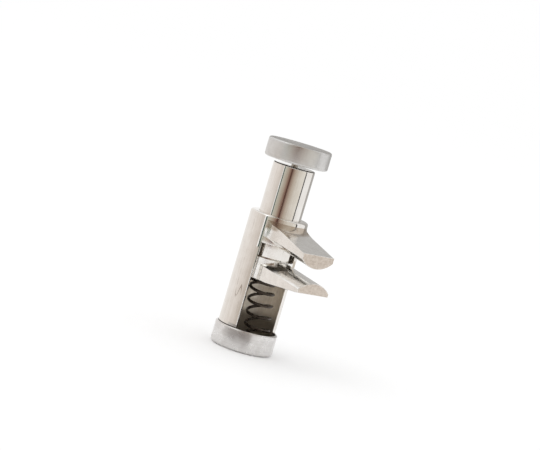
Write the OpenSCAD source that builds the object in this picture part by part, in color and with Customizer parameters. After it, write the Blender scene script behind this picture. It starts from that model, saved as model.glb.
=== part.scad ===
// Push-button pinch clamp for flexible tubing.
// A sprung plunger slides in a barrel and carries the lower jaw, which closes on the barrel's upper jaw.
// The cap's flat base lies on Z = 0, the barrel stands along +Z, and both jaws point along -Y.
// A side view is drawn as reach (the distance from the barrel's axis along -Y) and height.

/* [Barrel] */
// Outside diameter of the barrel
barrel_d = 16; // [15.5:0.1:20]
// Thickness of the barrel's wall round the main bore
barrel_wall = 0.8; // [0.6:0.1:1.2]
// Length of the barrel from its seat in the cap to its rim
barrel_length = 35.6; // [35.2:0.1:50]
// Length of the narrow bore at the top that guides the plunger
guide_length = 4; // [2:0.5:5]
// Radius of the rounded edge of the rim
rim_radius = 0.7; // [0.2:0.1:1.5]
// Clearance between the window's edges and the lower jaw's sides, along the wall of the bore
window_clearance = 1.46; // [0.6:0.02:2]
// Room left above the lower jaw in the window when the jaws meet
window_headroom = 0.6; // [0.3:0.1:1.5]

/* [Jaws] */
// Width of both jaws across the tube
jaw_width = 11; // [9:0.1:11.4]
// Height of the gap between the two jaws
jaw_gap = 3.25; // [1:0.05:4]
// Slope of the pinching faces, in degrees down towards the tips
mouth_tilt = 6; // [0:0.5:9]
// Radius of the rounded pinching faces
crown_radius = 8; // [7:0.1:14]
// Reach of the upper jaw's tip from the barrel's axis
upper_reach = 19.5; // [16:0.1:26]
// Height of the upper jaw's end face
upper_tip_height = 3.8; // [3:0.1:5]
// Length of the level land on top of the upper jaw's tip
upper_land = 0.5; // [0.2:0.1:4]
// Slope of the upper jaw's flat top behind the land, in degrees up towards the barrel
upper_slope = 14.5; // [8:0.5:17]
// Radius of the fillets where the upper jaw's sides join the barrel
root_fillet = 12; // [3:0.5:20]
// Radius of the collar fillet that runs from the barrel down to the upper jaw's top
collar_fillet = 2.2; // [1:0.1:3]
// Reach of the lower jaw's tip from the barrel's axis
lower_reach = 21.3; // [16:0.1:28]
// Height of the lower jaw's end face
lower_tip_height = 3.1; // [2.8:0.1:5]
// Slope of the lower jaw's underside, in degrees up towards the tip
lower_slope = 5.4; // [0:0.2:7]

/* [Plunger] */
// Step from the outside of the plunger to the barrel's main bore, on the radius
plunger_step = 1.4; // [0.9:0.1:2.4]
// Thickness of the plunger's tubular wall
plunger_wall = 1; // [0.6:0.1:1.6]
// Length of the plunger from its seat on the lower jaw to its top
plunger_length = 25.2; // [22:0.1:40]
// Thickness of the plunger's closed end
plunger_end = 3; // [2:0.1:6]
// Radius of the rounded edge of the plunger's closed end
plunger_round = 0.5; // [0.1:0.1:0.9]
// Height of the boss of the lower jaw inside the plunger
boss_height = 7; // [5:0.5:12]
// Diameter of the cross pin through the plunger and the boss
pin_d = 2; // [1:0.1:3]

/* [Button] */
// Diameter of the button
button_d = 17.5; // [12:0.1:26]
// Thickness of the button
button_height = 5.2; // [4.8:0.1:10]
// Radius of the button's rounded edges
button_round = 0.6; // [0.2:0.1:1.5]
// Height of the open gap between the plunger and the button
button_gap = 0.9; // [0.5:0.1:3]
// Diameter of the stud that carries the button
stud_d = 2; // [1.5:0.1:4]
// Depth of the stud's hole in the button
stud_depth = 3.4; // [2:0.1:4]

/* [Bottom cap] */
// Thickness of the cap's wall round the barrel
cap_wall = 0.6; // [0.6:0.05:4]
// Height of the cap
cap_height = 6; // [4:0.1:10]
// Thickness of the cap's floor under the barrel and the spring
cap_floor = 2; // [1.2:0.1:3]
// Radius of the rounded lower edge of the cap
cap_round = 1; // [0.2:0.1:1.5]
// Width of the bevel on the upper edge of the cap
cap_bevel = 0.3; // [0.1:0.1:0.5]

/* [Spring] */
// Length of the spring with the jaws at the stated gap
spring_length = 18.2; // [17:0.1:30]
// Outside diameter of the coils
spring_d = 7.3; // [6:0.1:7.6]
// Diameter of the wire
spring_wire = 0.8; // [0.5:0.05:1.2]
// Rise of each open coil
spring_pitch = 3.3; // [2:0.05:5]
// Direction in which the spring's foot leans off the barrel's axis, in degrees from +X
spring_side = -41; // [-60:1:-30]
// Distance from the barrel's axis to the spring's upper end, towards the window
spring_head_offset = 1.4; // [0:0.1:2.4]
// Distance from the barrel's axis to the spring's upper end, away from its foot along X
spring_head_side = 0.6; // [0:0.1:2]
// Turn of the lower end of the wire round the coil's axis, in degrees
spring_start = 275; // [0:5:355]

/* [Fits] */
// Running clearance between the plunger and its guide bore, on the radius
guide_clearance = 0.05; // [0.02:0.01:0.1]
// Running clearance between the lower jaw's round carrier and the bore, on the radius
carrier_clearance = 0.1; // [0.05:0.01:0.2]
// Clearance of the fixed fits, on the radius
fixed_clearance = 0.02; // [0.01:0.01:0.05]
// Clearance between the spring's foot and the wall of the bore
spring_clearance = 0.1; // [0.05:0.05:1]

/* [Hidden] */
$fn = 96;
arc_steps = 8;
wire_sides = 8;
rings_per_turn = 20;
open_side = 1;

barrel_r = barrel_d / 2;
bore_r = barrel_r - barrel_wall;
plunger_r = bore_r - plunger_step;
plunger_bore_r = plunger_r - plunger_wall;
guide_r = plunger_r + guide_clearance;
carrier_r = bore_r - carrier_clearance;
boss_r = plunger_bore_r - fixed_clearance;
stud_hole_r = stud_d / 2 + fixed_clearance;
pin_hole_r = pin_d / 2 + fixed_clearance;
recess_r = barrel_r + fixed_clearance;
half_jaw = jaw_width / 2;
window_angle = asin(half_jaw / bore_r) + 180 / PI * window_clearance / bore_r;

// Drop of a pinching face from its ridge to the jaw's side
crown_drop = crown_radius - sqrt(crown_radius * crown_radius - half_jaw * half_jaw);

// Heights, from the base upwards
carrier_z = cap_floor + spring_length;
lower_tip_z = carrier_z + tan(lower_slope) * (lower_reach - barrel_r);
lower_ridge_z = lower_tip_z + lower_tip_height + tan(mouth_tilt) * lower_reach;
carrier_top = ridge_height(lower_ridge_z, plunger_r);
upper_ridge_z = lower_ridge_z + jaw_gap;
upper_tip_z = ridge_height(upper_ridge_z, upper_reach) + upper_tip_height;
upper_root_z = upper_tip_z + tan(upper_slope) * (upper_reach - upper_land);
collar_reach = barrel_r + collar_fillet * (1 - sin(upper_slope));
collar_z = upper_root_z - tan(upper_slope) * collar_reach + collar_fillet * cos(upper_slope);
window_top = carrier_top + jaw_gap + window_headroom;
barrel_top = cap_floor + barrel_length;
plunger_top = carrier_top + plunger_length;
button_z = plunger_top + button_gap;
pin_z = carrier_top + boss_height / 2;

// Open turns between the two closed end turns of the spring
closed_rise = spring_wire * 1.08;
open_turns = (spring_length - spring_wire - 2 * closed_rise) / spring_pitch;
coil_r = (spring_d - spring_wire) / 2;

// Places of the coil's axis at the spring's two ends, and how far it leans for each millimetre of height
spring_foot = (bore_r - spring_d / 2 - spring_clearance) * [cos(spring_side), sin(spring_side)];
spring_head = [-spring_head_side, -spring_head_offset];
spring_lean = (spring_foot - spring_head) / spring_length;

// Height of a jaw's ridge line at a reach, from its height at the barrel's axis
function ridge_height(axis_z, reach) = axis_z - tan(mouth_tilt) * reach;

// Points of an arc from one angle to another
function arc(x, y, r, from, to) =
    [for (i = [0:arc_steps]) let (a = from + (to - from) * i / arc_steps) [x + r * cos(a), y + r * sin(a)]];

// Extrudes a side view, drawn as reach and height, to a width across the jaws
module across(width) {
    rotate([90, 0, -90]) linear_extrude(height = width, center = true) children();
}

// Round pinching face: a cylinder along a ridge line and past the tip, above it (1) or below it (-1)
module crown(ridge_z, reach, sense) {
    length = 2 * (reach + crown_radius);
    translate([0, 0, ridge_z + sense * crown_radius / cos(mouth_tilt)])
        rotate([90 + mouth_tilt, 0, 0])
            cylinder(r = crown_radius, h = length, center = true);
}

// Flat area of one root fillet, between a side of the jaw and the barrel
module root_fillet_area() {
    centre_x = half_jaw + root_fillet;
    span = barrel_r + root_fillet;
    centre_y = -sqrt(span * span - centre_x * centre_x);
    touch = barrel_r / span;
    difference() {
        polygon([[0, 0], [half_jaw, centre_y], [centre_x * touch, centre_y * touch]]);
        translate([centre_x, centre_y]) circle(r = root_fillet, $fn = 180);
    }
}

// Flat area of the window, whose edges point at the barrel's axis
module window_area() {
    far = 2 * barrel_r;
    side = far * sin(window_angle);
    edge = far * cos(window_angle);
    polygon([[0, 0], [-side, -edge], [-side, -far], [side, -far], [side, -edge]]);
}

// Turned barrel with a main bore, a narrow guide bore and a window open to its lower end
module barrel() {
    color([0.82, 0.80, 0.77]) difference() {
        rotate_extrude() polygon(concat(
            [[bore_r, cap_floor], [barrel_r, cap_floor]],
            arc(barrel_r - rim_radius, barrel_top - rim_radius, rim_radius, 0, 90),
            [[guide_r, barrel_top], [guide_r, barrel_top - guide_length]],
            [[bore_r, barrel_top - guide_length]]));
        translate([0, 0, cap_floor - open_side])
            linear_extrude(height = window_top - cap_floor + open_side) window_area();
    }
}

// Collar: a ring round the barrel whose concave side meets the upper jaw's sloping top
module collar() {
    rotate_extrude() polygon(concat(
        [[barrel_r - open_side, collar_z]],
        arc(barrel_r + collar_fillet, collar_z, collar_fillet, 180, 270 - upper_slope),
        [[collar_reach, upper_ridge_z], [barrel_r - open_side, upper_ridge_z]]));
}

// Upper jaw: a wedge with a flat top and a round pinching face, brazed to the front of the barrel
module upper_jaw() {
    corner_z = upper_ridge_z + crown_drop;
    color([0.78, 0.76, 0.74]) difference() {
        intersection() {
            union() {
                across(barrel_d) polygon([
                    [0, upper_root_z],
                    [upper_reach - upper_land, upper_tip_z],
                    [upper_reach, upper_tip_z],
                    [upper_reach, carrier_top],
                    [0, carrier_top]]);
                collar();
            }
            linear_extrude(height = barrel_top) union() {
                translate([-half_jaw, -upper_reach]) square([jaw_width, upper_reach]);
                root_fillet_area();
                mirror([1, 0]) root_fillet_area();
            }
            union() {
                crown(upper_ridge_z, upper_reach, 1);
                across(barrel_d) polygon([
                    [0, corner_z],
                    [upper_reach + open_side, ridge_height(corner_z, upper_reach + open_side)],
                    [upper_reach + open_side, barrel_top],
                    [0, barrel_top]]);
            }
        }
        cylinder(r = barrel_r, h = barrel_top);
    }
}

// Turned cap that closes the lower end of the barrel and seats the spring
module bottom_cap() {
    cap_r = recess_r + cap_wall;
    color([0.76, 0.75, 0.74]) rotate_extrude() polygon(concat(
        [[0, 0]],
        arc(cap_r - cap_round, cap_round, cap_round, -90, 0),
        [[cap_r, cap_height - cap_bevel], [cap_r - cap_bevel, cap_height]],
        [[recess_r, cap_height], [recess_r, cap_floor], [0, cap_floor]]));
}

// Height of the wire's centre above the spring's foot after a number of turns
function wire_height(turn) =
    spring_wire / 2
    + closed_rise * min(turn, 1)
    + spring_pitch * max(0, min(turn - 1, open_turns))
    + closed_rise * max(0, turn - 1 - open_turns);

// Share of the lean that a turn takes up: none in the closed end turns, all of it a turn further in
function lean_share(turn) = max(0, min(turn - 1, open_turns + 1 - turn, 1));

// One ring of points round the left-handed wire after a number of turns
function wire_ring(turn) =
    let (a = spring_start - 360 * turn, h = wire_height(turn), wire_r = spring_wire / 2)
    [for (i = [0:wire_sides - 1])
        let (b = 360 * i / wire_sides, spoke = (coil_r + wire_r * cos(b)) * [cos(a), sin(a)])
        concat(
            spring_foot - spring_lean * h + spoke,
            cap_floor + h + lean_share(turn) * (spoke * spring_lean) - wire_r * sin(b))];

// Compression spring with closed ends that leans in the bore, its open coils square to its own axis
module spring() {
    turns = open_turns + 2;
    steps = ceil(turns * rings_per_turn);
    points = [for (s = [0:steps]) each wire_ring(turns * s / steps)];
    sides = [for (s = [0:steps - 1], i = [0:wire_sides - 1])
        let (a = s * wire_sides + i, b = s * wire_sides + (i + 1) % wire_sides)
        each [[a, a + wire_sides, b], [b, a + wire_sides, b + wire_sides]]];
    first_end = [for (i = [0:wire_sides - 1]) i];
    last_end = [for (i = [wire_sides - 1:-1:0]) steps * wire_sides + i];
    color([0.30, 0.28, 0.26]) polyhedron(points = points, faces = concat(sides, [first_end, last_end]));
}

// Drawn plunger: a tube with a thick closed end that holds the button's stud
module plunger() {
    color([0.82, 0.80, 0.77]) difference() {
        rotate_extrude() polygon(concat(
            [[plunger_bore_r, carrier_top], [plunger_r, carrier_top]],
            arc(plunger_r - plunger_round, plunger_top - plunger_round, plunger_round, 0, 90),
            [[stud_hole_r, plunger_top], [stud_hole_r, plunger_top - plunger_end]],
            [[plunger_bore_r, plunger_top - plunger_end]]));
        pin_hole();
    }
}

// Cross hole for the pin that holds the lower jaw in the plunger
module pin_hole() {
    translate([0, 0, pin_z]) rotate([0, 90, 0]) cylinder(r = pin_hole_r, h = barrel_d, center = true);
}

// Lower jaw: a round carrier in the bore, a boss in the plunger and a tapered bar out through the window
module lower_jaw() {
    color([0.78, 0.76, 0.74]) difference() {
        union() {
            translate([0, 0, carrier_z]) cylinder(r = carrier_r, h = carrier_top - carrier_z);
            translate([0, 0, carrier_z]) cylinder(r = boss_r, h = carrier_top - carrier_z + boss_height);
            intersection() {
                across(jaw_width) polygon([
                    [0, carrier_z],
                    [barrel_r, carrier_z],
                    [lower_reach, lower_tip_z],
                    [lower_reach, carrier_top],
                    [0, carrier_top]]);
                crown(lower_ridge_z, lower_reach, -1);
            }
        }
        pin_hole();
    }
}

// Cross pin through the plunger's wall and the boss
module jaw_pin() {
    pin_length = 2 * sqrt(plunger_r * plunger_r - pin_d * pin_d / 4);
    color([0.60, 0.58, 0.55]) translate([0, 0, pin_z])
        rotate([0, 90, 0]) cylinder(d = pin_d, h = pin_length, center = true);
}

// Turned button with a blind hole for its stud
module button() {
    button_r = button_d / 2;
    top = button_z + button_height;
    color([0.76, 0.75, 0.74]) rotate_extrude() polygon(concat(
        [[stud_hole_r, button_z + stud_depth], [stud_hole_r, button_z]],
        arc(button_r - button_round, button_z + button_round, button_round, -90, 0),
        arc(button_r - button_round, top - button_round, button_round, 0, 90),
        [[0, top], [0, button_z + stud_depth]]));
}

// Threaded stud that holds the button clear of the plunger
module button_stud() {
    foot = plunger_top - plunger_end;
    color([0.55, 0.53, 0.50]) translate([0, 0, foot])
        cylinder(d = stud_d, h = plunger_end + button_gap + stud_depth);
}

barrel();
upper_jaw();
bottom_cap();
spring();
plunger();
lower_jaw();
jaw_pin();
button();
button_stud();
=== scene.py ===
"""Dresses the push-button pinch clamp for a studio render.

The clamp stands on its cap at the origin, +Z up, with both jaws along -Y. Blender's unit is the metre, so
every size below is written in millimetres times MM.
"""
import logging
import math
from collections.abc import Callable, Iterator, Sequence
from contextlib import contextmanager
from dataclasses import asdict, dataclass
from enum import Enum
from itertools import pairwise

import bmesh
import bpy
from mathutils import Matrix, Vector
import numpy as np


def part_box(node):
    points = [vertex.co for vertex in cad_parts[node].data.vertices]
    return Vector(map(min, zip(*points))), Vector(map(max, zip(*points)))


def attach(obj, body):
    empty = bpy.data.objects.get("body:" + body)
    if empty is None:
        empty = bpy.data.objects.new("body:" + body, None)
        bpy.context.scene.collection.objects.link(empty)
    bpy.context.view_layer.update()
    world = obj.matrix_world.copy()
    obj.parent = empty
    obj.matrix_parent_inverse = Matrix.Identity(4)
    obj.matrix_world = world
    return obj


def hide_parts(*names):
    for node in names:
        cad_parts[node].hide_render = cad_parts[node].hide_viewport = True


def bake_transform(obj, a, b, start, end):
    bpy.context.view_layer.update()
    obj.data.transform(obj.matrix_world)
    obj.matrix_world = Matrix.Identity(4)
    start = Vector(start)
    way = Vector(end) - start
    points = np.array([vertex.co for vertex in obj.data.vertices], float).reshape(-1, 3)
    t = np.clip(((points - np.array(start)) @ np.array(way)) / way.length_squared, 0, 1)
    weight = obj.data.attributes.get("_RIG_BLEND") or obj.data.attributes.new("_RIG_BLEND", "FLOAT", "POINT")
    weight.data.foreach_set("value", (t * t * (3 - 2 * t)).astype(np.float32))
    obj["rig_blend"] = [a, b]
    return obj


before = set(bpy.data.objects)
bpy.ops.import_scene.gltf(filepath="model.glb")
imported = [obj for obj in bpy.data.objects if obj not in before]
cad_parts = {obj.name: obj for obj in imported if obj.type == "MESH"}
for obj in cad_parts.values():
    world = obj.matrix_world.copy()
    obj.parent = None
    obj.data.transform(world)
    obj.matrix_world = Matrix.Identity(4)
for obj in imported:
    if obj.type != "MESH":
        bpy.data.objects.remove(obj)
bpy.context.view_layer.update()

LOG = logging.getLogger("pinch_clamp")

MM = 0.001
# Points that are closer than this count as one.
HAIR = 0.004 * MM
# Facets round a turned piece, round a drilled hole and across a broken edge.
TURNING_STEPS = 192
DRILL_STEPS = 48
EDGE_FACETS = 3
# Edges that bend by more degrees than this are sharp.
SHARP_ANGLE = 32.0
# Least part of a face's normal along an axis for a face that looks that way, and for one that is level.
FACING = 0.9
LEVEL = 0.98
# The range that a noise texture mostly stays in.
NOISE_LOW, NOISE_HIGH = 0.35, 0.65

Outline = Sequence[tuple[float, float]]
Colour = tuple[float, float, float, float]
Tree = bpy.types.NodeTree
Source = bpy.types.Node | bpy.types.NodeSocket


class Body(Enum):
    """The two bodies of the clamp, by their names in the frame."""

    HOUSING = "housing"
    SLIDER = "slider"


class Grain(Enum):
    """The way that the marks of the last tool run on a surface."""

    LENGTHWISE = "drawn or polished along the clamp's axis"
    ROUND = "turned round the clamp's axis"
    ACROSS = "ground across the jaws"


class Kind(Enum):
    """What a selection in edit mode picks."""

    VERTS = "VERT"
    FACES = "FACE"


def linear(colour: str) -> Colour:
    """Turns an sRGB hex colour to the linear values that shaders take.

    Args:
        colour: The colour as six hex digits after a hash.

    Returns:
        Red, green, blue and alpha.
    """
    shares = [int(colour[i:i + 2], 16) / 255 for i in (1, 3, 5)]
    values = [s / 12.92 if s <= 0.04045 else ((s + 0.055) / 1.055) ** 2.4 for s in shares]
    return values[0], values[1], values[2], 1.0


def add(tree: Tree, kind: str, inputs: dict | None = None, **settings: object) -> bpy.types.Node:
    """Adds one node to a node tree.

    Args:
        tree: The tree that the node goes into.
        kind: The node's type, without the word ShaderNode that all types start with.
        inputs: Values, output sockets or nodes, by the name or number of the input. Of a node it is the
            first output that is in use.
        settings: The node's own properties.

    Returns:
        The new node.
    """
    node = tree.nodes.new("ShaderNode" + kind)
    for name, value in settings.items():
        setattr(node, name, value)
    for name, value in (inputs or {}).items():
        if isinstance(value, bpy.types.Node):
            value = next(output for output in value.outputs if output.enabled)
        if isinstance(value, bpy.types.NodeSocket):
            tree.links.new(value, node.inputs[name])
        else:
            node.inputs[name].default_value = value
    return node


def empty_tree(owner: bpy.types.Material | bpy.types.World) -> Tree:
    """Turns on the nodes of a material or of the world, and removes those that it came with.

    Args:
        owner: The material or the world.

    Returns:
        Its empty node tree.
    """
    owner.use_nodes = True
    owner.node_tree.nodes.clear()
    return owner.node_tree


def cover(tree: Tree, ground: Source | Colour, tone: str, *shares: Source) -> Source:
    """Lays a tone over a colour, as strongly as the product of some shares.

    Args:
        tree: The node tree.
        ground: The colour below.
        tone: The colour on top, in hex.
        shares: Each is 0 where the tone is kept out and 1 where it may cover the ground.

    Returns:
        The mixed colour.
    """
    share = shares[0]
    for other in shares[1:]:
        share = add(tree, "Math", {0: share, 1: other}, operation="MULTIPLY")
    return add(tree, "Mix", {"Factor": share, "A": ground, "B": linear(tone)}, data_type="RGBA")


def from_axis(tree: Tree, place: Source) -> tuple[Source, Source]:
    """Measures a point against the clamp's axis.

    Args:
        tree: The node tree.
        place: The point, in metres.

    Returns:
        Its distance from the axis, and its height.
    """
    axes = add(tree, "SeparateXYZ", {"Vector": place})
    flat = add(tree, "CombineXYZ", {"X": axes.outputs["X"], "Y": axes.outputs["Y"]})
    radius = add(tree, "VectorMath", {0: flat}, operation="LENGTH")
    return radius, axes.outputs["Z"]


def arc(x: float, y: float, radius: float, start: float, end: float,
        steps: int = 8) -> list[tuple[float, float]]:
    """Points of a round corner in an outline.

    Args:
        x: Distance of the arc's centre from the axis.
        y: Height of the arc's centre.
        radius: The arc's radius.
        start: First angle in degrees.
        end: Last angle in degrees.
        steps: Number of straight stretches.

    Returns:
        The points from the first angle to the last.
    """
    angles = [math.radians(start + (end - start) * i / steps) for i in range(steps + 1)]
    return [(x + radius * math.cos(a), y + radius * math.sin(a)) for a in angles]


class Workpiece:
    """One mesh on the bench, shaped by Blender's own modelling tools."""

    def __init__(self, name: str) -> None:
        """Takes up the primitive that was just added, and moves its place into its mesh.

        Args:
            name: The piece's name.
        """
        bpy.ops.object.transform_apply(location=True, rotation=True, scale=True)
        self.obj = bpy.context.object
        self.obj.name = self.obj.data.name = name

    @classmethod
    def block(cls, name: str, low: Sequence[float], high: Sequence[float]) -> "Workpiece":
        """Adds a square block.

        Args:
            name: The piece's name.
            low: Its lowest corner.
            high: Its highest corner.

        Returns:
            The block.
        """
        bpy.ops.object.select_all(action="DESELECT")
        middle = [(a + b) / 2 for a, b in zip(low, high)]
        bpy.ops.mesh.primitive_cube_add(size=1, location=middle, scale=[b - a for a, b in zip(low, high)])
        return cls(name)

    @classmethod
    def rod(cls, name: str, start: Sequence[float], end: Sequence[float], radius: float,
            sides: int = TURNING_STEPS) -> "Workpiece":
        """Adds a round rod between two points.

        Args:
            name: The piece's name.
            start: Centre of one end.
            end: Centre of the other end.
            radius: The rod's radius.
            sides: Number of facets.

        Returns:
            The rod.
        """
        bpy.ops.object.select_all(action="DESELECT")
        line = Vector(end) - Vector(start)
        bpy.ops.mesh.primitive_cylinder_add(
            vertices=sides, radius=radius, depth=line.length, location=(Vector(start) + Vector(end)) / 2,
            rotation=line.to_track_quat("Z", "Y").to_euler())
        return cls(name)

    @classmethod
    def point(cls, name: str, place: Sequence[float]) -> "Workpiece":
        """Adds a single point, from which an outline is drawn.

        Args:
            name: The piece's name.
            place: The point.

        Returns:
            The piece with its one point.
        """
        bpy.ops.object.select_all(action="DESELECT")
        bpy.ops.mesh.primitive_plane_add(size=MM, location=place)
        piece = cls(name)
        with piece.editing("SELECT"):
            bpy.ops.mesh.merge(type="CENTER")
        return piece

    @classmethod
    def turned(cls, name: str, outline: Outline, start: float = 0.0, sweep: float = 360.0,
               steps: int = TURNING_STEPS, closed: bool = False) -> "Workpiece":
        """Spins an outline round the clamp's axis.

        Args:
            name: The piece's name.
            outline: Radius and height of each point. A closed ring ends where it starts.
            start: Angle of the first section in degrees, from +X.
            sweep: Angle that is spun through, in degrees.
            steps: Number of sections.
            closed: Whether the first and the last section are filled, where they don't meet.

        Returns:
            The turned piece.
        """
        radius, height = outline[0]
        piece = cls.point(name, (radius, 0, height))
        with piece.editing("SELECT"):
            for (r0, z0), (r1, z1) in pairwise(outline):
                bpy.ops.mesh.extrude_vertices_move(TRANSFORM_OT_translate={"value": (r1 - r0, 0, z1 - z0)})
            bpy.ops.mesh.select_all(action="SELECT")
            bpy.ops.transform.rotate(value=-math.radians(start), orient_axis="Z", center_override=(0, 0, 0))
            bpy.ops.mesh.spin(steps=steps, angle=-math.radians(sweep), center=(0, 0, 0), axis=(0, 0, 1))
        piece.weld()
        if closed:
            piece.fill_holes()
        return piece

    def take_up(self) -> None:
        """Selects the piece alone and makes it the active one."""
        bpy.ops.object.select_all(action="DESELECT")
        self.obj.select_set(True)
        bpy.context.view_layer.objects.active = self.obj

    @contextmanager
    def editing(self, action: str = "DESELECT") -> Iterator[None]:
        """Opens the piece in edit mode, and closes it again.

        Args:
            action: SELECT to start with all of it selected, DESELECT with nothing.

        Yields:
            Nothing; the piece is in edit mode meanwhile.
        """
        self.take_up()
        bpy.ops.object.mode_set(mode="EDIT")
        bpy.ops.mesh.select_mode(type="VERT")
        bpy.ops.mesh.select_all(action=action)
        yield
        bpy.ops.object.mode_set(mode="OBJECT")

    def pick(self, test: Callable[[Vector, Vector], bool], kind: Kind = Kind.VERTS) -> None:
        """Selects what passes a test, and nothing else. Works in edit mode.

        Args:
            test: Takes the place and the normal of a vertex or face.
            kind: What is picked.
        """
        bpy.ops.mesh.select_mode(type=kind.value)
        bpy.ops.mesh.select_all(action="DESELECT")
        mesh = bmesh.from_edit_mesh(self.obj.data)
        if kind is Kind.VERTS:
            for vert in mesh.verts:
                vert.select_set(test(vert.co, vert.normal))
        else:
            for face in mesh.faces:
                face.select_set(test(face.calc_center_median(), face.normal))
        mesh.select_flush_mode()
        bmesh.update_edit_mesh(self.obj.data)

    def weld(self) -> None:
        """Merges points that coincide and turns the normals outwards."""
        with self.editing("SELECT"):
            bpy.ops.mesh.remove_doubles(threshold=HAIR)
            bpy.ops.mesh.normals_make_consistent(inside=False)

    def fill_holes(self) -> None:
        """Closes each open border with a face and turns the normals outwards."""
        with self.editing("SELECT"):
            bpy.ops.mesh.fill_holes(sides=0)
            bpy.ops.mesh.quads_convert_to_tris(quad_method="BEAUTY", ngon_method="BEAUTY")
            bpy.ops.mesh.normals_make_consistent(inside=False)

    def slice_off(self, point: Sequence[float], normal: Sequence[float]) -> None:
        """Cuts away all that lies beyond a plane and closes the cut.

        Args:
            point: A point on the plane.
            normal: The direction that is cut away.
        """
        with self.editing("SELECT"):
            bpy.ops.mesh.bisect(plane_co=point, plane_no=normal, use_fill=True, clear_outer=True)

    def _boolean(self, tool: "Workpiece", operation: str) -> None:
        """Applies a Boolean with another workpiece, which is used up.

        Args:
            tool: The other workpiece.
            operation: DIFFERENCE or UNION.
        """
        modifier = self.obj.modifiers.new(operation, "BOOLEAN")
        modifier.operation = operation
        modifier.object = tool.obj
        modifier.solver = "EXACT"
        self.apply(modifier)
        bpy.data.objects.remove(tool.obj, do_unlink=True)
        self.weld()

    def subtract(self, tool: "Workpiece") -> None:
        """Cuts the shape of a tool out of the piece."""
        self._boolean(tool, "DIFFERENCE")

    def unite(self, tool: "Workpiece") -> None:
        """Joins another workpiece to the piece as one solid."""
        self._boolean(tool, "UNION")

    def apply(self, modifier: bpy.types.Modifier) -> None:
        """Applies a modifier to the mesh.

        Args:
            modifier: The modifier, which is on this piece.
        """
        self.take_up()
        bpy.ops.object.modifier_apply(modifier=modifier.name)

    def break_edges(self, width: float, free: Callable[[Vector], bool] | None = None) -> None:
        """Rounds the sharp edges a little and smooths the shading between them.

        Args:
            width: Width of the rounding.
            free: Takes the middle of a sharp edge and tells whether it is rounded. Without it, all are.
        """
        bevel = self.obj.modifiers.new("broken_edges", "BEVEL")
        bevel.width = width
        bevel.segments = EDGE_FACETS
        bevel.limit_method = "WEIGHT" if free else "ANGLE"
        bevel.angle_limit = math.radians(SHARP_ANGLE)
        bevel.use_clamp_overlap = False
        bevel.harden_normals = True
        if free:
            self.weigh_edges(free)
        self.smooth()
        self.apply(bevel)

    def weigh_edges(self, free: Callable[[Vector], bool]) -> None:
        """Gives a full bevel weight to the sharp edges that pass a test.

        Args:
            free: Takes the middle of an edge.
        """
        with self.editing():
            bpy.ops.mesh.select_mode(type="EDGE")
            bpy.ops.mesh.edges_select_sharp(sharpness=math.radians(SHARP_ANGLE))
            mesh = bmesh.from_edit_mesh(self.obj.data)
            for edge in mesh.edges:
                edge.select_set(edge.select and free((edge.verts[0].co + edge.verts[1].co) / 2))
            bmesh.update_edit_mesh(self.obj.data)
            bpy.ops.transform.edge_bevelweight(value=1.0)

    def smooth(self, angle: float = SHARP_ANGLE) -> None:
        """Smooths the shading of all edges that bend less than an angle in degrees."""
        self.take_up()
        bpy.ops.object.shade_smooth_by_angle(angle=math.radians(angle))

    def paint(self, finish: "MetalFinish") -> None:
        """Gives the whole piece one finish."""
        self.obj.data.materials.append(finish.material())

    def paint_where(self, finish: "MetalFinish", test: Callable[[Vector, Vector], bool]) -> None:
        """Gives the faces that pass a test a finish of their own.

        Args:
            finish: The finish.
            test: Takes the centre and the normal of a face.
        """
        self.obj.data.materials.append(finish.material())
        with self.editing():
            self.pick(test, Kind.FACES)
            self.obj.active_material_index = len(self.obj.data.materials) - 1
            bpy.ops.object.material_slot_assign()

    def mount(self, body: Body, node: str, slot: str) -> None:
        """Fastens the finished piece to a body, in the place of its plain node.

        Args:
            body: The body that it moves with.
            node: The node that it stands for.
            slot: Not used.
        """
        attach(self.obj, body.value)
        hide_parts(node)
        LOG.info("%s: %d faces on the %s", self.obj.name, len(self.obj.data.polygons), body.value)


@dataclass(frozen=True)
class Surface:
    """What the colour of a finish can build on.

    Attributes:
        tree: The material's node tree.
        place: The point on the surface, in metres.
        patches: How dull the surface is there.
        marks: How deep the tool's marks are there.
    """

    tree: Tree
    place: Source
    patches: Source
    marks: Source


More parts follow.
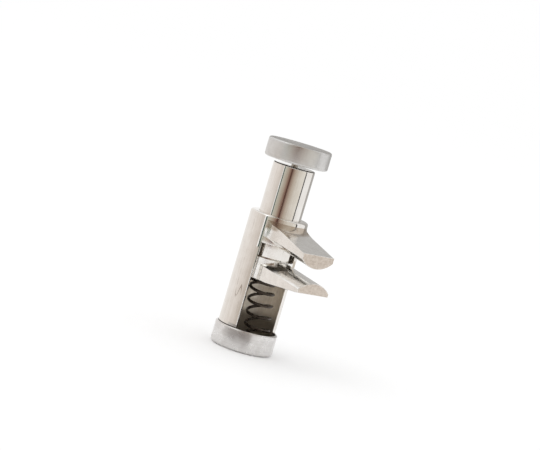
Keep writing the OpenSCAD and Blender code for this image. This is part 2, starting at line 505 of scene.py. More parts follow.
@dataclass(frozen=True)
class MetalFinish:
    """A bare or plated metal surface with the marks of the tool that made it.

    Attributes:
        name: What the surface is.
        tint: Its colour where it is clean.
        shade: Its colour in the duller patches.
        polished: Roughness where it is clean.
        dull: Roughness in the duller patches.
        patch: Size of the patches.
        grain: The way that the tool's marks run.
        mark_width: Distance between the marks.
        mark_depth: Depth of a mark.
        ripple_width: Distance between the low waves of the surface.
        ripple_depth: Height of the waves.
        mark_length: Length of a mark. A turned one goes all the way round.
        bare: Share of clean metal; the rest is a thin oxide that scatters the light.
    """

    name: str
    tint: str
    shade: str
    polished: float
    dull: float
    patch: float
    grain: Grain
    mark_width: float
    mark_depth: float
    ripple_width: float
    ripple_depth: float
    mark_length: float = MM
    bare: float = 1.0

    def material(self) -> bpy.types.Material:
        """Builds the material, or finds it if it was built before.

        Returns:
            The material.
        """
        found = bpy.data.materials.get(self.name)
        if found:
            return found
        made = bpy.data.materials.new(self.name)
        tree = empty_tree(made)
        place = add(tree, "TexCoord").outputs["Object"]
        patches = add(tree, "TexNoise", {"Vector": place, "Scale": 1 / self.patch, "Detail": 4.0})
        marks = add(tree, "TexNoise", {"Vector": self.mark_place(tree, place), "Scale": 1.0, "Detail": 3.0})
        ripples = add(tree, "TexNoise", {"Vector": place, "Scale": 1 / self.ripple_width, "Detail": 1.0})
        wear = add(tree, "MapRange", {
            "Value": patches, "From Min": NOISE_LOW, "From Max": NOISE_HIGH,
            "To Min": self.polished, "To Max": self.dull})
        waves = add(tree, "Bump", {"Height": ripples, "Strength": 1.0, "Distance": self.ripple_depth})
        scores = add(tree, "Bump", {
            "Height": marks, "Strength": 1.0, "Distance": self.mark_depth, "Normal": waves})
        shader = add(tree, "BsdfPrincipled", {
            "Base Color": self.colour(Surface(tree, place, patches, marks)),
            "Metallic": self.bare, "Roughness": wear, "Normal": scores})
        add(tree, "OutputMaterial", {"Surface": shader})
        return made

    def mark_place(self, tree: Tree, place: Source) -> Source:
        """Stretches the pattern's space along the tool's marks.

        Args:
            tree: The material's node tree.
            place: The point on the surface, in metres.

        Returns:
            The point in the space of the marks.
        """
        wide, long = 1 / self.mark_width, 1 / self.mark_length
        scale = (wide, wide, wide)
        if self.grain is Grain.LENGTHWISE:
            scale = (wide, wide, long)
        elif self.grain is Grain.ACROSS:
            scale = (long, wide, wide)
        else:
            radius, height = from_axis(tree, place)
            place = add(tree, "CombineXYZ", {"X": radius, "Z": height})
        return add(tree, "VectorMath", {0: place, 1: scale}, operation="MULTIPLY")

    def colour(self, on: Surface) -> Source:
        """Mixes the surface's two colours by its patches and marks.

        Args:
            on: The surface that is coloured.

        Returns:
            The base colour.
        """
        both = add(on.tree, "Math", {0: on.patches, 1: on.marks}, operation="ADD")
        dull = add(on.tree, "MapRange", {
            "Value": both, "From Min": 2 * NOISE_LOW, "From Max": 2 * NOISE_HIGH})
        return cover(on.tree, linear(self.tint), self.shade, dull)


@dataclass(frozen=True)
class PaintedShadeBoreFinish(MetalFinish):
    """The unpolished inside of a drawn tube, with painted shade that darkens it towards its closed lower
    end.

    Attributes:
        painted_bore_shade: Colour of the painted shade at the closed end.
        painted_bore_shade_top: Height up to which it is darkest.
        clear: Height above which it has its plain colour.
    """

    painted_bore_shade: str = "#000000"
    painted_bore_shade_top: float = 0.0
    clear: float = 1.0

    def colour(self, on: Surface) -> Source:
        """Paints shade over the plain colour, darker towards the closed end.

        Args:
            on: The surface that is coloured.

        Returns:
            The base colour.
        """
        axes = add(on.tree, "SeparateXYZ", {"Vector": on.place})
        low = add(on.tree, "MapRange", {
            "Value": axes.outputs["Z"], "From Min": self.clear, "From Max": self.painted_bore_shade_top})
        return cover(on.tree, super().colour(on), self.painted_bore_shade, low)


@dataclass(frozen=True)
class RootReflectionFinish(MetalFinish):
    """Plating with a brown reflection painted on it beside the brazed joint.

    Attributes:
        scale: Colour of the painted reflection at the joint.
        joint: Distance from the clamp's axis up to which it has that colour.
        reach: Distance from which it is clean.
        foot: Height below which it is clean.
        top: Height from which the painted reflection is full.
        patch_range: The dullness from which the painted reflection thins, and that at which it is thinnest.
        thinnest: What is left of the painted reflection there.
    """

    scale: str = "#000000"
    joint: float = 0.0
    reach: float = 1.0
    foot: float = 0.0
    top: float = 1.0
    patch_range: tuple[float, float] = (0.3, 0.7)
    thinnest: float = 0.6

    def colour(self, on: Surface) -> Source:
        """Paints the brown reflection over the plain colour near the joint.

        Args:
            on: The surface that is coloured.

        Returns:
            The base colour.
        """
        radius, height = from_axis(on.tree, on.place)
        near = add(on.tree, "MapRange", {
            "Value": radius, "From Min": self.reach, "From Max": self.joint})
        above = add(on.tree, "MapRange", {
            "Value": height, "From Min": self.foot, "From Max": self.top})
        clean = add(on.tree, "MapRange", {
            "Value": on.patches, "From Min": self.patch_range[0], "From Max": self.patch_range[1],
            "To Min": 1.0, "To Max": self.thinnest})
        return cover(on.tree, super().colour(on), self.scale, near, above, clean)


@dataclass(frozen=True)
class ScratchedFinish(MetalFinish):
    """Plating with a few fine scratches along the axis, where it was rubbed beside the window.

    Attributes:
        scratch: Colour of a scratch.
        gap: Distance between the scratches.
        length: Length of a scratch.
        width: Half of a scratch's width, as the noise's distance from its middle value.
        rubbed: Place along Y up to which the surface was rubbed.
        spared: Place along Y from which it wasn't.
        patch_range: The dullness from which scratches show, and that at which they are darkest.
        darkest: How much of their colour they have there.
    """

    scratch: str = "#000000"
    gap: float = 1.0
    length: float = 1.0
    width: float = 0.009
    rubbed: float = 0.0
    spared: float = 1.0
    patch_range: tuple[float, float] = (0.42, 0.58)
    darkest: float = 0.6

    def colour(self, on: Surface) -> Source:
        """Draws the scratches over the plain colour.

        Args:
            on: The surface that is coloured.

        Returns:
            The base colour.
        """
        scale = (1 / self.gap, 1 / self.gap, 1 / self.length)
        along = add(on.tree, "VectorMath", {0: on.place, 1: scale}, operation="MULTIPLY")
        noise = add(on.tree, "TexNoise", {"Vector": along, "Scale": 1.0, "Detail": 0.0})
        line = add(on.tree, "Math", {0: noise, 1: 0.5, 2: self.width}, operation="COMPARE")
        worn = add(on.tree, "MapRange", {
            "Value": on.patches, "From Min": self.patch_range[0], "From Max": self.patch_range[1],
            "To Max": self.darkest})
        axes = add(on.tree, "SeparateXYZ", {"Vector": on.place})
        beside = add(on.tree, "MapRange", {
            "Value": axes.outputs["Y"], "From Min": self.spared, "From Max": self.rubbed})
        return cover(on.tree, super().colour(on), self.scratch, line, worn, beside)


# Bright nickel plated on drawn brass tube: a warm mirror with low waves and faint polishing lines.
NICKEL_TUBE = MetalFinish(
    name="bright_nickel_on_drawn_tube", tint="#ebe8e4", shade="#e0dbd5", polished=0.04, dull=0.09,
    patch=2.5 * MM, grain=Grain.LENGTHWISE, mark_width=0.3 * MM, mark_length=7 * MM, mark_depth=0.0005 * MM,
    ripple_width=4 * MM, ripple_depth=0.008 * MM)

# The same on the barrel, where use left a few fine dark scratches beside the window.
SCRATCHED_TUBE = ScratchedFinish(
    **{**asdict(NICKEL_TUBE), "name": "scratched_nickel_on_drawn_tube"},
    scratch="#8f8479", gap=2.2 * MM, length=26 * MM, rubbed=-1 * MM, spared=1.5 * MM)

# Bright nickel plated on cast and filed jaws: the same mirror, wavier, as the filing shows through. Its tint
# is painted lighter than the tube's, to stand in for light on the flanks.
NICKEL_JAW = MetalFinish(
    name="bright_nickel_on_filed_jaw", tint="#f5f4f1", shade="#eae7e3", polished=0.14, dull=0.22,
    patch=2.0 * MM, grain=Grain.ACROSS, mark_width=0.35 * MM, mark_length=5 * MM, mark_depth=0.001 * MM,
    ripple_width=3 * MM, ripple_depth=0.015 * MM)

# The upper jaw's nickel, with a brown reflection painted on top of its root.
PAINTED_ROOT_REFLECTION_JAW = RootReflectionFinish(
    **{**asdict(NICKEL_JAW), "name": "nickel_on_filed_jaw_painted_root_reflection"},
    scale="#a99885", joint=8.6 * MM, reach=9.8 * MM, foot=33.8 * MM, top=34.4 * MM)

# The jaws' end faces, ground square before a thin plating: matt, finely mottled and warmer.
GROUND_END = MetalFinish(
    name="nickel_on_ground_end", tint="#e2d8ce", shade="#cbbfb3", polished=0.42, dull=0.58,
    patch=0.6 * MM, grain=Grain.ACROSS, mark_width=0.3 * MM, mark_length=1.0 * MM, mark_depth=0.006 * MM,
    ripple_width=1.5 * MM, ripple_depth=0.01 * MM)

# A thin dark line of painted light: on the plunger's rounded rim it is a painted dark reflection of the
# button's underside, and over the cap it is painted shade in the gap.
PAINTED_DARK_LINE = MetalFinish(
    name="dark_line_of_painted_shade", tint="#453c34", shade="#201b17", polished=0.3, dull=0.45,
    patch=0.9 * MM, grain=Grain.ROUND, mark_width=0.2 * MM, mark_depth=0.002 * MM,
    ripple_width=1.0 * MM, ripple_depth=0.004 * MM, bare=0.6)

# Turned and fine-blasted aluminium: soft grey with a grain too fine to see, which only softens the light.
SATIN_ALUMINIUM = MetalFinish(
    name="satin_turned_aluminium", tint="#d6d5d3", shade="#cbc9c7", polished=0.32, dull=0.4,
    patch=1.5 * MM, grain=Grain.ROUND, mark_width=0.3 * MM, mark_depth=0.0008 * MM,
    ripple_width=2.5 * MM, ripple_depth=0.008 * MM)

# The cap's aluminium: the same satin, but knocked and wavy from use on the bench.
KNOCKED_ALUMINIUM = MetalFinish(
    name="knocked_satin_aluminium", tint="#e2e0de", shade="#d2cfcd", polished=0.25, dull=0.36,
    patch=2.0 * MM, grain=Grain.ROUND, mark_width=0.3 * MM, mark_depth=0.0008 * MM,
    ripple_width=3.0 * MM, ripple_depth=0.08 * MM)

# The unplated bore of the drawn tube, oxidised brown-grey. Its tint is painted far lighter than that to make
# up for the little light inside, and painted shade darkens it towards the closed end.
TUBE_BORE = PaintedShadeBoreFinish(
    name="oxidised_tube_bore_with_painted_light", tint="#faf0e2", shade="#e4dacb", polished=0.3, dull=0.4,
    patch=1.5 * MM, grain=Grain.LENGTHWISE, mark_width=0.4 * MM, mark_length=5 * MM, mark_depth=0.002 * MM,
    ripple_width=2.5 * MM, ripple_depth=0.01 * MM, bare=0.5,
    painted_bore_shade="#9c9284", painted_bore_shade_top=8 * MM, clear=10.5 * MM)

# Oil-tempered spring wire: a dark oxide skin with a little gloss.
SPRING_WIRE = MetalFinish(
    name="tempered_spring_wire", tint="#4a4138", shade="#2f2822", polished=0.22, dull=0.32,
    patch=0.8 * MM, grain=Grain.ROUND, mark_width=0.3 * MM, mark_depth=0.001 * MM,
    ripple_width=1.5 * MM, ripple_depth=0.003 * MM, bare=0.7)

# Bare turned steel of the cross pin and the stud: grey and cleanly cut.
TURNED_STEEL = MetalFinish(
    name="bare_turned_steel", tint="#b9b3aa", shade="#9a948c", polished=0.24, dull=0.34,
    patch=0.6 * MM, grain=Grain.ROUND, mark_width=0.25 * MM, mark_depth=0.002 * MM,
    ripple_width=1.0 * MM, ripple_depth=0.002 * MM)


@dataclass(frozen=True)
class Station:
    """One cross-section of a jaw.

    Attributes:
        y: Its place along the jaw.
        ridge: Height of the ridge of the round pinching face.
        back: Height of the jaw's flat back.
        half: Half of the jaw's width.
    """

    y: float
    ridge: float
    back: float
    half: float


@dataclass(frozen=True)
class JawBar:
    """A bar with a round pinching face along one side and a flat back along the other.

    Attributes:
        name: The piece's name.
        crown: Radius of the pinching face.
        sense: 1 if the face looks down, -1 if it looks up.
        stations: The sections from the tip to the root.
        arc_steps: Number of facets across the face.
    """

    name: str
    crown: float
    sense: int
    stations: Sequence[Station]
    arc_steps: int = 28

    def make(self) -> Workpiece:
        """Draws the tip's section and extrudes it from station to station.

        Returns:
            The closed bar.
        """
        tip = self.stations[0]
        drop = self.crown - math.sqrt(self.crown ** 2 - tip.half ** 2)
        corner = tip.ridge + self.sense * drop
        bar = Workpiece.point(self.name, (-tip.half, tip.y, corner))
        with bar.editing("SELECT"):
            bpy.ops.mesh.spin(
                steps=self.arc_steps, angle=2 * math.asin(tip.half / self.crown),
                center=(0, tip.y, tip.ridge + self.sense * self.crown), axis=(0, self.sense, 0))
            for move in ((0, 0, tip.back - corner), (-2 * tip.half, 0, 0)):
                bpy.ops.mesh.extrude_vertices_move(TRANSFORM_OT_translate={"value": move})
            bpy.ops.mesh.select_all(action="SELECT")
            bpy.ops.mesh.edge_face_add()
            for last, here in pairwise(self.stations):
                self._next_station(bar, last, here, drop)
        bar.weld()
        return bar

    def _next_station(self, bar: Workpiece, last: Station, here: Station, drop: float) -> None:
        """Extrudes the selected section to the next station and leaves the new one selected.

        Args:
            bar: The bar, in edit mode.
            last: The station of the selected section.
            here: The next station.
            drop: Depth of the pinching face's curve.
        """
        rise = here.ridge - last.ridge
        bpy.ops.mesh.extrude_region_move(TRANSFORM_OT_translate={"value": (0, here.y - last.y, rise)})
        bpy.ops.transform.resize(
            value=(here.half / last.half, 1, 1), center_override=(0, here.y, here.ridge))
        limit = here.ridge + self.sense * (drop + HAIR)
        bar.pick(lambda co, _: abs(co.y - here.y) < HAIR and (co.z - limit) * self.sense > 0)
        bpy.ops.transform.translate(value=(0, 0, here.back - last.back - rise))
        bar.pick(lambda co, _: abs(co.y - here.y) < HAIR)


@dataclass
class Jawed:
    """What both bodies have in common: a jaw of the same width with a round, tilted pinching face."""

    jaw_half: float = 5.5 * MM
    crown: float = 8.0 * MM
    mouth_tilt: float = 6.0

    def ridge(self, height: float, length: float) -> float:
        """Height of a pinching face's ridge.

        Args:
            height: Its height at the tip.
            length: Distance from the tip.

        Returns:
            The height at that distance.
        """
        return height + math.tan(math.radians(self.mouth_tilt)) * length

    def mount_jaw(self, jaw: Workpiece, tip: float, body: Body, node: str) -> None:
        """Grinds the end of a jaw and fastens the jaw to its body.

        Args:
            jaw: The jaw.
            tip: Place of its end along Y.
            body: The body that it moves with.
            node: The node that it stands for.
        """
        jaw.paint_where(GROUND_END, lambda co, normal: co.y < tip + HAIR and normal.y < -FACING)
        jaw.mount(body, node, "nickel_plate")


@dataclass
class Housing(Jawed):
    """The still parts: the barrel with its window, the upper jaw and the bottom cap."""

    wall: float = 0.8 * MM
    guide_length: float = 4.0 * MM
    guide_radius: float = 5.85 * MM
    rim_radius: float = 0.7 * MM
    # Height of the painted shade line over the gap at the cap.
    painted_gap_line: float = 0.2 * MM
    window_angle: float = 61.43
    window_top: float = 30.036 * MM
    jaw_tip_height: float = 3.8 * MM
    jaw_land: float = 0.5 * MM
    jaw_slope: float = 14.5
    root_fillet: float = 12.0 * MM
    collar_fillet: float = 2.2 * MM
    collar_sink: float = 0.02 * MM
    fillet_steps: int = 8
    collar_steps: int = 12
    cap_floor: float = 2.0 * MM
    cap_round: float = 1.0 * MM
    cap_bevel: float = 0.3 * MM
    recess_radius: float = 8.02 * MM
    barrel_edge: float = 0.1 * MM
    jaw_edge: float = 0.12 * MM
    cap_edge: float = 0.06 * MM

    def __post_init__(self) -> None:
        """Reads the outer sizes from the frame."""
        low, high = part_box("barrel")
        self.radius, self.foot, self.top = high.x, low.z, high.z
        self.bore = self.radius - self.wall

    def make(self) -> None:
        """Makes the three parts and fastens them to the housing."""
        self.make_barrel()
        self.make_upper_jaw()
        self.make_cap()

    def make_barrel(self) -> None:
        """Turns the barrel, mills its window and leaves the bore unpolished."""
        step = self.top - self.guide_length
        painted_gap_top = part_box("bottom_cap")[1].z + self.painted_gap_line
        barrel = Workpiece.turned("nickel_plated_barrel", [
            (self.bore, self.foot), (self.radius, self.foot), (self.radius, painted_gap_top),
            *arc(self.radius - self.rim_radius, self.top - self.rim_radius, self.rim_radius, 0, 90),
            (self.guide_radius, self.top), (self.guide_radius, step), (self.bore, step),
            (self.bore, self.foot)])
        reach = 2 * self.radius
        barrel.subtract(Workpiece.turned("window", [
            (0, self.foot - MM), (reach, self.foot - MM), (reach, self.window_top), (0, self.window_top),
            (0, self.foot - MM)], start=-90 - self.window_angle, sweep=2 * self.window_angle, closed=True))
        barrel.paint(SCRATCHED_TUBE)
        barrel.break_edges(self.barrel_edge)
        mid_wall = (self.bore + self.radius) / 2
        # The bore gets a tint painted lighter to make up for the little light inside, with painted shade
        # towards the closed end.
        barrel.paint_where(TUBE_BORE, lambda co, normal: (
            co.to_2d().length < mid_wall and co.z < step and normal.dot(co) < 0 and abs(normal.z) < 0.5
            and abs(co.to_2d().length - self.bore) < self.barrel_edge))
        # A thin line of painted shade in the gap just above the cap.
        barrel.paint_where(PAINTED_DARK_LINE, lambda co, normal: co.z < painted_gap_top and co.to_2d().length > mid_wall)
        barrel.mount(Body.HOUSING, "barrel", "nickel_plate")

    def make_upper_jaw(self) -> None:
        """Shapes the upper jaw from a tall blank, mills its top and seats it against the barrel."""
        low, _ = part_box("upper_jaw")
        centre_x = self.jaw_half + self.root_fillet
        reach = self.radius + self.root_fillet
        centre_y = -math.sqrt(reach ** 2 - centre_x ** 2)
        touch_y = centre_y * self.radius / reach

        def station(y: float) -> Station:
            """The blank's section at a place along the jaw, flared towards the barrel."""
            along = min(max(y, centre_y), touch_y) - centre_y
            return Station(y=y, ridge=self.ridge(low.z, y - low.y), back=self.top,
                           half=centre_x - math.sqrt(self.root_fillet ** 2 - along ** 2))

        flare = [centre_y + (touch_y - centre_y) * i / self.fillet_steps
                 for i in range(self.fillet_steps + 1)]
        jaw = JawBar("nickel_plated_upper_jaw", self.crown, 1,
                     [station(y) for y in (low.y, *flare, 0.0)]).make()
        jaw.subtract(self.make_milled_waste(low))
        jaw.subtract(Workpiece.rod("seat", (0, 0, 0), (0, 0, 2 * self.top), self.radius))
        # The top of the jaw's root gets a painted brown reflection, where its curved fillet meets the
        # barrel.
        jaw.paint(PAINTED_ROOT_REFLECTION_JAW)
        clear = self.radius + self.collar_fillet
        jaw.break_edges(self.jaw_edge, free=lambda co: co.to_2d().length > clear)
        self.mount_jaw(jaw, low.y, Body.HOUSING, "upper_jaw")

    def make_milled_waste(self, tip: Vector) -> Workpiece:
        """Makes what the mill takes off the jaw's top: all above its slope, but for the collar's fillet.

        Args:
            tip: Lowest corner of the jaw's box, at its tip.

        Returns:
            The waste.
        """
        slope = math.radians(self.jaw_slope)
        tip_back = tip.z + self.jaw_tip_height
        knee = tip.y + self.jaw_land
        side = 2 * self.radius
        waste = Workpiece.block("waste", (-side, tip.y - MM, tip.z), (side, MM, self.top + MM))
        waste.slice_off((0, knee, tip_back), (0, 0, -1))
        waste.slice_off((0, knee, tip_back), (0, math.sin(slope), -math.cos(slope)))
        reach = self.radius + self.collar_fillet * (1 - math.sin(slope))
        height = (tip_back - math.tan(slope) * (reach + knee) + self.collar_fillet * math.cos(slope)
                  - self.collar_sink)
        inside = self.radius - MM
        fillet = arc(self.radius + self.collar_fillet, height, self.collar_fillet,
                     180, 270 - self.jaw_slope, self.collar_steps)
        waste.subtract(Workpiece.turned("collar", [
            (inside, height), *fillet, (reach, tip.z), (inside, tip.z), (inside, height)]))
        return waste

    def make_cap(self) -> None:
        """Turns the cap that closes the barrel's lower end."""
        _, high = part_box("bottom_cap")
        cap = Workpiece.turned("satin_aluminium_bottom_cap", [
            (0, 0), *arc(high.x - self.cap_round, self.cap_round, self.cap_round, -90, 0),
            (high.x, high.z - self.cap_bevel), (high.x - self.cap_bevel, high.z),
            (self.recess_radius, high.z), (self.recess_radius, self.cap_floor), (0, self.cap_floor)])
        cap.paint(KNOCKED_ALUMINIUM)
        cap.break_edges(self.cap_edge)
        cap.mount(Body.HOUSING, "bottom_cap", "satin_aluminium")


@dataclass
class Slider(Jawed):
    """The moving parts: the plunger, the lower jaw in it, the cross pin, the button and its stud."""

    wall: float = 1.0 * MM
    closed_end: float = 3.0 * MM
    plunger_round: float = 0.5 * MM
    # Depth of the painted dark reflection along the plunger's rounded rim.
    painted_rim_line: float = 0.26 * MM
    pin_hole: float = 1.02 * MM
    stud_hole: float = 1.02 * MM
    jaw_tip_height: float = 3.1 * MM
    jaw_slope: float = 5.4
    carrier_radius: float = 7.1 * MM
    boss_radius: float = 4.78 * MM
    button_round: float = 0.6 * MM
    stud_depth: float = 3.4 * MM
    thread_pitch: float = 0.4 * MM
    thread_depth: float = 0.2 * MM
    relief_radius: float = 0.86 * MM
    shank_radius: float = 0.93 * MM
    thread_steps: int = 32
    turned_edge: float = 0.06 * MM
    jaw_edge: float = 0.14 * MM

    def __post_init__(self) -> None:
        """Reads the outer sizes from the frame."""
        low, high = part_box("plunger")
        self.radius, self.foot, self.top = high.x, low.z, high.z
        pin_low, pin_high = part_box("jaw_pin")
        self.pin_z = (pin_low.z + pin_high.z) / 2
        self.barrel_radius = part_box("barrel")[1].x

    def make(self) -> None:
        """Makes the parts and fastens them to the slider."""
        self.make_plunger()
        self.make_lower_jaw()
        self.make_button()
        self.make_stud()
        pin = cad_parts["jaw_pin"].data
        pin.materials.clear()
        pin.materials.append(TURNED_STEEL.material())

    def pin_drill(self) -> Workpiece:
        """The drill for the cross pin's hole."""
        reach = 2 * self.radius
        return Workpiece.rod("pin_drill", (-reach, 0, self.pin_z), (reach, 0, self.pin_z), self.pin_hole,
                             DRILL_STEPS)

    def make_plunger(self) -> None:
        """Turns the plunger, a tube with a thick closed end, and drills its pin hole."""
        bore, ceiling, edge = self.radius - self.wall, self.top - self.closed_end, self.plunger_round
        plunger = Workpiece.turned("nickel_plated_plunger", [
            (bore, self.foot), (self.radius, self.foot),
            *arc(self.radius - edge, self.top - edge, edge, 0, 90), (self.stud_hole, self.top),
            (self.stud_hole, ceiling), (bore, ceiling), (bore, self.foot)])
        plunger.subtract(self.pin_drill())
        plunger.paint(NICKEL_TUBE)
        plunger.break_edges(self.turned_edge)
        # The top of the rim's rounding gets a painted dark reflection of the button's underside.
        plunger.paint_where(PAINTED_DARK_LINE, lambda co, normal: (
            co.z > self.top - self.painted_rim_line and normal.z < LEVEL and co.to_2d().dot(normal.to_2d()) > 0))
        plunger.mount(Body.SLIDER, "plunger", "nickel_plate")

    def make_lower_jaw(self) -> None:
        """Shapes the lower jaw's bar and joins it to its round carrier and boss."""
        low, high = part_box("lower_jaw")

        def underside(y: float) -> float:
            """Height of the jaw's underside, which slopes up outside the barrel."""
            return low.z + math.tan(math.radians(self.jaw_slope)) * max(0.0, -self.barrel_radius - y)

        tip_ridge = underside(low.y) + self.jaw_tip_height
        jaw = JawBar("nickel_plated_lower_jaw", self.crown, -1, [
            Station(y=y, ridge=self.ridge(tip_ridge, y - low.y), back=underside(y), half=self.jaw_half)
            for y in (low.y, -self.barrel_radius, 0.0)]).make()
        jaw.slice_off((0, 0, self.foot), (0, 0, 1))
        jaw.unite(Workpiece.rod("carrier", (0, 0, low.z), (0, 0, self.foot), self.carrier_radius))
        jaw.unite(Workpiece.rod("boss", (0, 0, low.z + MM), (0, 0, high.z), self.boss_radius))
        jaw.subtract(self.pin_drill())
        jaw.paint(NICKEL_JAW)
        jaw.break_edges(self.jaw_edge)
        self.mount_jaw(jaw, low.y, Body.SLIDER, "lower_jaw")

    def make_button(self) -> None:
        """Turns the button with the blind hole for its stud."""
        low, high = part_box("button")
        edge, hole_top = self.button_round, low.z + self.stud_depth
        button = Workpiece.turned("satin_aluminium_button", [
            (0, hole_top), (self.stud_hole, hole_top), (self.stud_hole, low.z),
            *arc(high.x - edge, low.z + edge, edge, -90, 0),
            *arc(high.x - edge, high.z - edge, edge, 0, 90), (0, high.z)])
        button.paint(SATIN_ALUMINIUM)
        button.break_edges(self.turned_edge)
        button.mount(Body.SLIDER, "button", "satin_aluminium")

    def make_stud(self) -> None:
        """Cuts the stud's thread by screwing one groove round its axis, and leaves its middle plain."""
        low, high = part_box("button_stud")
        root = high.x - self.thread_depth
        turns = math.floor((high.z - low.z) / self.thread_pitch) - 1
        stud = Workpiece.point("threaded_button_stud", (root, 0, low.z))
        with stud.editing("SELECT"):
            for side in (1, -1):
                move = (side * self.thread_depth, 0, self.thread_pitch / 2)
                bpy.ops.mesh.extrude_vertices_move(TRANSFORM_OT_translate={"value": move})
        screw = stud.obj.modifiers.new("thread", "SCREW")
        screw.screw_offset = self.thread_pitch
        screw.iterations = turns
        screw.steps = screw.render_steps = self.thread_steps
        screw.use_merge_vertices = True
        stud.apply(screw)
        stud.weld()
        stud.fill_holes()
        foot, head = self.top - self.thread_pitch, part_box("button")[0].z + self.thread_pitch
        stud.subtract(Workpiece.turned("relief", [
            (self.relief_radius, foot), (2 * high.x, foot), (2 * high.x, head), (self.relief_radius, head),
            (self.relief_radius, foot)], steps=DRILL_STEPS))
        sink = self.thread_pitch / 4
        stud.unite(Workpiece.rod("shank", (0, 0, foot - sink), (0, 0, head + sink), self.shank_radius,
                                 DRILL_STEPS))
        stud.smooth()
        stud.paint(TURNED_STEEL)
        stud.mount(Body.SLIDER, "button_stud", "pin_steel")


@dataclass
class CoilSpring:
    """The left-handed compression spring with closed ends, which leans in the bore."""

    diameter: float = 7.3 * MM
    wire: float = 0.8 * MM
    pitch: float = 3.3 * MM
    foot_reach: float = 3.45 * MM
    foot_side: float = -41.0
    head_place: tuple[float, float] = (-0.6 * MM, -1.4 * MM)
    start: float = 275.0
    closed_pitch: float = 1.08
    rings_per_turn: int = 36
    facets: int = 4
    smooth_angle: float = 60.0

    def __post_init__(self) -> None:
        """Reads the spring's foot and head from the frame and works out its turns."""
        low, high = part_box("spring")
        self.foot, self.length = low.z, high.z - low.z
        self.closed_rise = self.closed_pitch * self.wire
        self.open_turns = (self.length - self.wire - 2 * self.closed_rise) / self.pitch
        self.turns = self.open_turns + 2
        self.rings = math.ceil(self.turns * self.rings_per_turn)
        side = math.radians(self.foot_side)
        self.foot_place = self.foot_reach * Vector((math.cos(side), math.sin(side)))
        self.lean = (self.foot_place - Vector(self.head_place)) / self.length

    def height(self, turn: float) -> float:
        """Finds how far the wire has risen.

        Args:
            turn: The number of turns so far.

        Returns:
            Height of the wire's centre above the spring's foot.
        """
        opened = min(max(turn - 1, 0.0), self.open_turns)
        closed = min(turn, 1.0) + max(0.0, turn - 1 - self.open_turns)
        return self.wire / 2 + self.closed_rise * closed + self.pitch * opened

    def centre_line(self) -> list[tuple[float, float, float]]:
        """Winds the wire's centre line.

        Returns:
            Its points, from the spring's foot upwards.
        """
        radius = (self.diameter - self.wire) / 2
        points = []
        for ring in range(self.rings + 1):
            turn = self.turns * ring / self.rings
            angle, height = math.radians(self.start - 360 * turn), self.height(turn)
            spoke = radius * Vector((math.cos(angle), math.sin(angle)))
            share = max(0.0, min(turn - 1, self.open_turns + 1 - turn, 1.0))
            middle = self.foot_place - self.lean * height + spoke
            points.append((middle.x, middle.y, self.foot + height + share * spoke.dot(self.lean)))
        return points

    def make(self) -> None:
        """Sweeps the wire along its centre line and lets it close evenly between the two bodies."""
        line = self.centre_line()
        bpy.ops.object.select_all(action="DESELECT")
        bpy.ops.curve.primitive_nurbs_path_add(location=(0, 0, 0))
        coil = bpy.context.object
        coil.data.splines.clear()
        spline = coil.data.splines.new("POLY")
        spline.points.add(len(line) - 1)
        for point, place in zip(spline.points, line):
            point.co = (*place, 1.0)
        coil.data.bevel_depth = self.wire / 2
        coil.data.bevel_resolution = self.facets
        coil.data.use_fill_caps = True
        bpy.ops.object.convert(target="MESH")
        spring = Workpiece("coil_spring")
        spring.weld()
        spring.smooth(self.smooth_angle)
        spring.paint(SPRING_WIRE)
        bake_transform(spring.obj, Body.HOUSING.value, Body.SLIDER.value, start=(0, 0, self.foot),
                 end=(0, 0, self.foot + self.length))
        self.close_evenly(spring.obj, line)
        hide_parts("spring")
        LOG.info("%s: %.2f turns, %d faces", spring.obj.name, self.turns, len(spring.obj.data.polygons))

    def close_evenly(self, spring: bpy.types.Object, line: Sequence[Sequence[float]]) -> None:
        """Makes each ring of the wire move as one, and both closed end turns stay on their seats.

        Args:
            spring: The spring, already blended between its bodies.
            line: The wire's centre line.
        """
        weights = spring.data.attributes["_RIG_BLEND"].data
        for vertex, weight in zip(spring.data.vertices, weights):
            ring = min(range(len(line)), key=lambda i: (vertex.co - Vector(line[i])).length_squared)
            turn = self.turns * ring / self.rings
            weight.value = min(max((turn - 1) / self.open_turns, 0.0), 1.0)


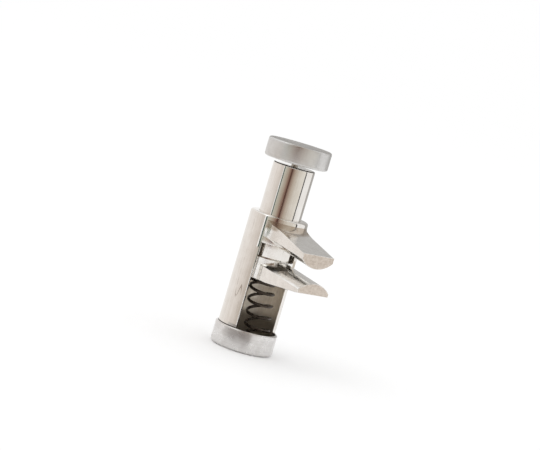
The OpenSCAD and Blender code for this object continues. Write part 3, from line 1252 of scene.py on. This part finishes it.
@dataclass
class Studio:
    """The pale floor, the soft light, the cards that the plating mirrors, and the camera."""

    aim: float = 30.0 * MM
    azimuth: float = -41.043
    elevation: float = 5.971
    roll: float = 16.55
    distance: float = 480.0 * MM
    shift_right: float = 0.546 * MM
    shift_up: float = 4.627 * MM
    lens: float = 118.964
    nearest: float = 10.0 * MM
    floor_size: float = 8.0
    ambient: float = 1.0
    card_radius: float = 280.0 * MM
    card_height: float = 200.0 * MM
    card_cover: float = 78.0
    side_radius: float = 38.0 * MM
    side_height: float = 60.0 * MM
    edge_height: float = 27.0 * MM
    flag_radius: float = 20.0 * MM
    flag_height: float = 4.8 * MM
    card_foot: float = 0.2 * MM
    card_steps: int = 48
    tent_steps: int = 12
    lamp_place: tuple[float, float, float] = (-0.75, 0.1, 0.9)
    lamp_size: float = 0.6
    lamp_power: float = 0.8

    def make(self) -> None:
        """Sets up the whole studio."""
        azimuth = math.radians(self.azimuth)
        self.toward = Vector((math.sin(azimuth), -math.cos(azimuth), 0))
        self.make_world()
        self.make_floor()
        self.make_cards()
        self.make_lamp()
        self.make_camera()

    def make_world(self) -> None:
        """Makes a white surround that camera and mirror rays see at plain white."""
        world = bpy.data.worlds.new("studio_white")
        bpy.context.scene.world = world
        tree = empty_tree(world)
        path = add(tree, "LightPath")
        mirrored = add(tree, "Math", {
            0: path.outputs["Is Glossy Ray"], 1: path.outputs["Is Transmission Ray"]}, operation="MAXIMUM")
        seen = add(tree, "Math", {0: path.outputs["Is Camera Ray"], 1: mirrored}, operation="MAXIMUM")
        lit = add(tree, "Background", {"Color": linear("#ffffff"), "Strength": self.ambient})
        white = add(tree, "Background", {"Color": linear("#ffffff"), "Strength": 1.0})
        mix = add(tree, "MixShader", {0: seen, 1: lit, 2: white})
        add(tree, "OutputWorld", {"Surface": mix})

    def make_floor(self) -> None:
        """Lays a white floor that keeps the clamp's shadow."""
        bpy.ops.object.select_all(action="DESELECT")
        bpy.ops.mesh.primitive_plane_add(size=self.floor_size)
        floor = bpy.context.object
        floor.name = "studio_floor"
        paper = bpy.data.materials.new("white_paper")
        tree = empty_tree(paper)
        diffuse = add(tree, "BsdfDiffuse", {"Color": linear("#ffffff")})
        add(tree, "OutputMaterial", {"Surface": diffuse})
        floor.data.materials.append(paper)

    def make_card(self, name: str, outline: Outline, tones: Sequence[tuple[float, str]]) -> None:
        """Stands a curved card round the clamp that only mirror rays see.

        Args:
            name: The card's name.
            outline: Its distance from the clamp's axis and its height, from its lower edge upwards.
            tones: Its colours from end to end, each with its angle in degrees from the camera, positive to
                the picture's right.
        """
        start, end = tones[0][0], tones[-1][0]
        towards = math.degrees(math.atan2(self.toward.y, self.toward.x))
        card = Workpiece.turned(
            name, outline, start=towards + start, sweep=end - start, steps=self.card_steps)
        paint = bpy.data.materials.new(name)
        tree = empty_tree(paint)
        side = self.toward.cross(Vector((0, 0, 1))) * -1
        place = add(tree, "TexCoord").outputs["Object"]
        across = add(tree, "VectorMath", {0: place, 1: tuple(side)}, operation="DOT_PRODUCT")
        along = add(tree, "VectorMath", {0: place, 1: tuple(self.toward)}, operation="DOT_PRODUCT")
        angle = add(tree, "Math", {0: across, 1: along}, operation="ARCTAN2")
        share = add(tree, "MapRange", {
            "Value": angle, "From Min": math.radians(start), "From Max": math.radians(end)})
        ramp = add(tree, "ValToRGB", {"Fac": share})
        stops = ramp.color_ramp.elements
        while len(stops) < len(tones):
            stops.new(0.5)
        for stop, (where, tone) in zip(stops, tones):
            stop.position = (where - start) / (end - start)
            stop.color = linear(tone)
        glow = add(tree, "Emission", {"Color": ramp, "Strength": 1.0})
        add(tree, "OutputMaterial", {"Surface": glow})
        card.obj.data.materials.append(paint)
        card.obj.visible_camera = card.obj.visible_diffuse = card.obj.visible_shadow = False

    def make_cards(self) -> None:
        """Stands the cards whose reflections model the plating's bands."""
        tent = [(self.card_radius, MM), *arc(
            0, self.card_height, self.card_radius, 0, self.card_cover, self.tent_steps)]
        side, edge, flag = (
            [(radius, self.card_foot), (radius, height)] for radius, height in (
                (self.side_radius, self.side_height), (self.side_radius, self.edge_height),
                (self.flag_radius, self.flag_height)))
        self.make_card("front_card", tent, [
            (-49, "#2f4a45"), (-45, "#3f5650"), (-43, "#cfcfc4"), (-24, "#b8ab9c"), (-11, "#8f7366"),
            (-4, "#4c2f29"), (4, "#a08a7c"), (18, "#c4b8ab"), (40, "#e2ddd4"), (73, "#f2efe8"),
            (74, "#4c4c4e"), (80, "#4c4c4e")])
        self.make_card("side_card", side, [
            (-180, "#ffffff"), (-140, "#fcfaf8"), (-100, "#f8f4f1"), (-72, "#eee8e3"), (-49.5, "#dad2cb")])
        self.make_card("edge_card", edge, [(-49.5, "#d6cec6"), (-40, "#cdc4bb")])
        self.make_card("back_card", tent, [(128, "#b2b0ad"), (160, "#bcbab8"), (205, "#c0bebb")])
        self.make_card("bench_flag", flag, [
            (-66, "#d8d5d2"), (-40, "#a09b99"), (16, "#88827f"), (20, "#88827f")])

    def make_lamp(self) -> None:
        """Hangs one large soft lamp above and behind the camera's left shoulder."""
        data = bpy.data.lights.new("soft_box", "AREA")
        data.shape = "SQUARE"
        data.size = self.lamp_size
        data.energy = self.lamp_power
        lamp = bpy.data.objects.new("soft_box", data)
        bpy.context.scene.collection.objects.link(lamp)
        lamp.location = self.lamp_place
        lamp.rotation_euler = (lamp.location - Vector((0, 0, self.aim))).to_track_quat("Z", "Y").to_euler()

    def make_camera(self) -> None:
        """Places the camera at the clamp's own viewing angle."""
        data = bpy.data.cameras.new("camera")
        data.lens = self.lens
        data.clip_start = self.nearest
        camera = bpy.data.objects.new("camera", data)
        bpy.context.scene.collection.objects.link(camera)
        azimuth, elevation, roll = (math.radians(a) for a in (self.azimuth, self.elevation, self.roll))
        back = Vector((math.sin(azimuth) * math.cos(elevation), -math.cos(azimuth) * math.cos(elevation),
                       math.sin(elevation)))
        level = Vector((math.cos(azimuth), math.sin(azimuth), 0))
        upright = back.cross(level)
        right = level * math.cos(roll) + upright * math.sin(roll)
        up = upright * math.cos(roll) - level * math.sin(roll)
        place = (Vector((0, 0, self.aim)) + back * self.distance
                 - right * self.shift_right + up * self.shift_up)
        camera.matrix_world = Matrix.Translation(place) @ Matrix((right, up, back)).transposed().to_4x4()
        bpy.context.scene.camera = camera


def main() -> None:
    """Makes the clamp and its studio, and logs the faces of the new pieces."""
    logging.basicConfig(level=logging.INFO, format="%(message)s")
    bpy.context.scene.view_settings.view_transform = "Standard"
    for part in (Housing(), Slider(), CoilSpring(), Studio()):
        part.make()
        LOG.info("%s made", type(part).__name__)


if __name__ == "__main__":
    main()
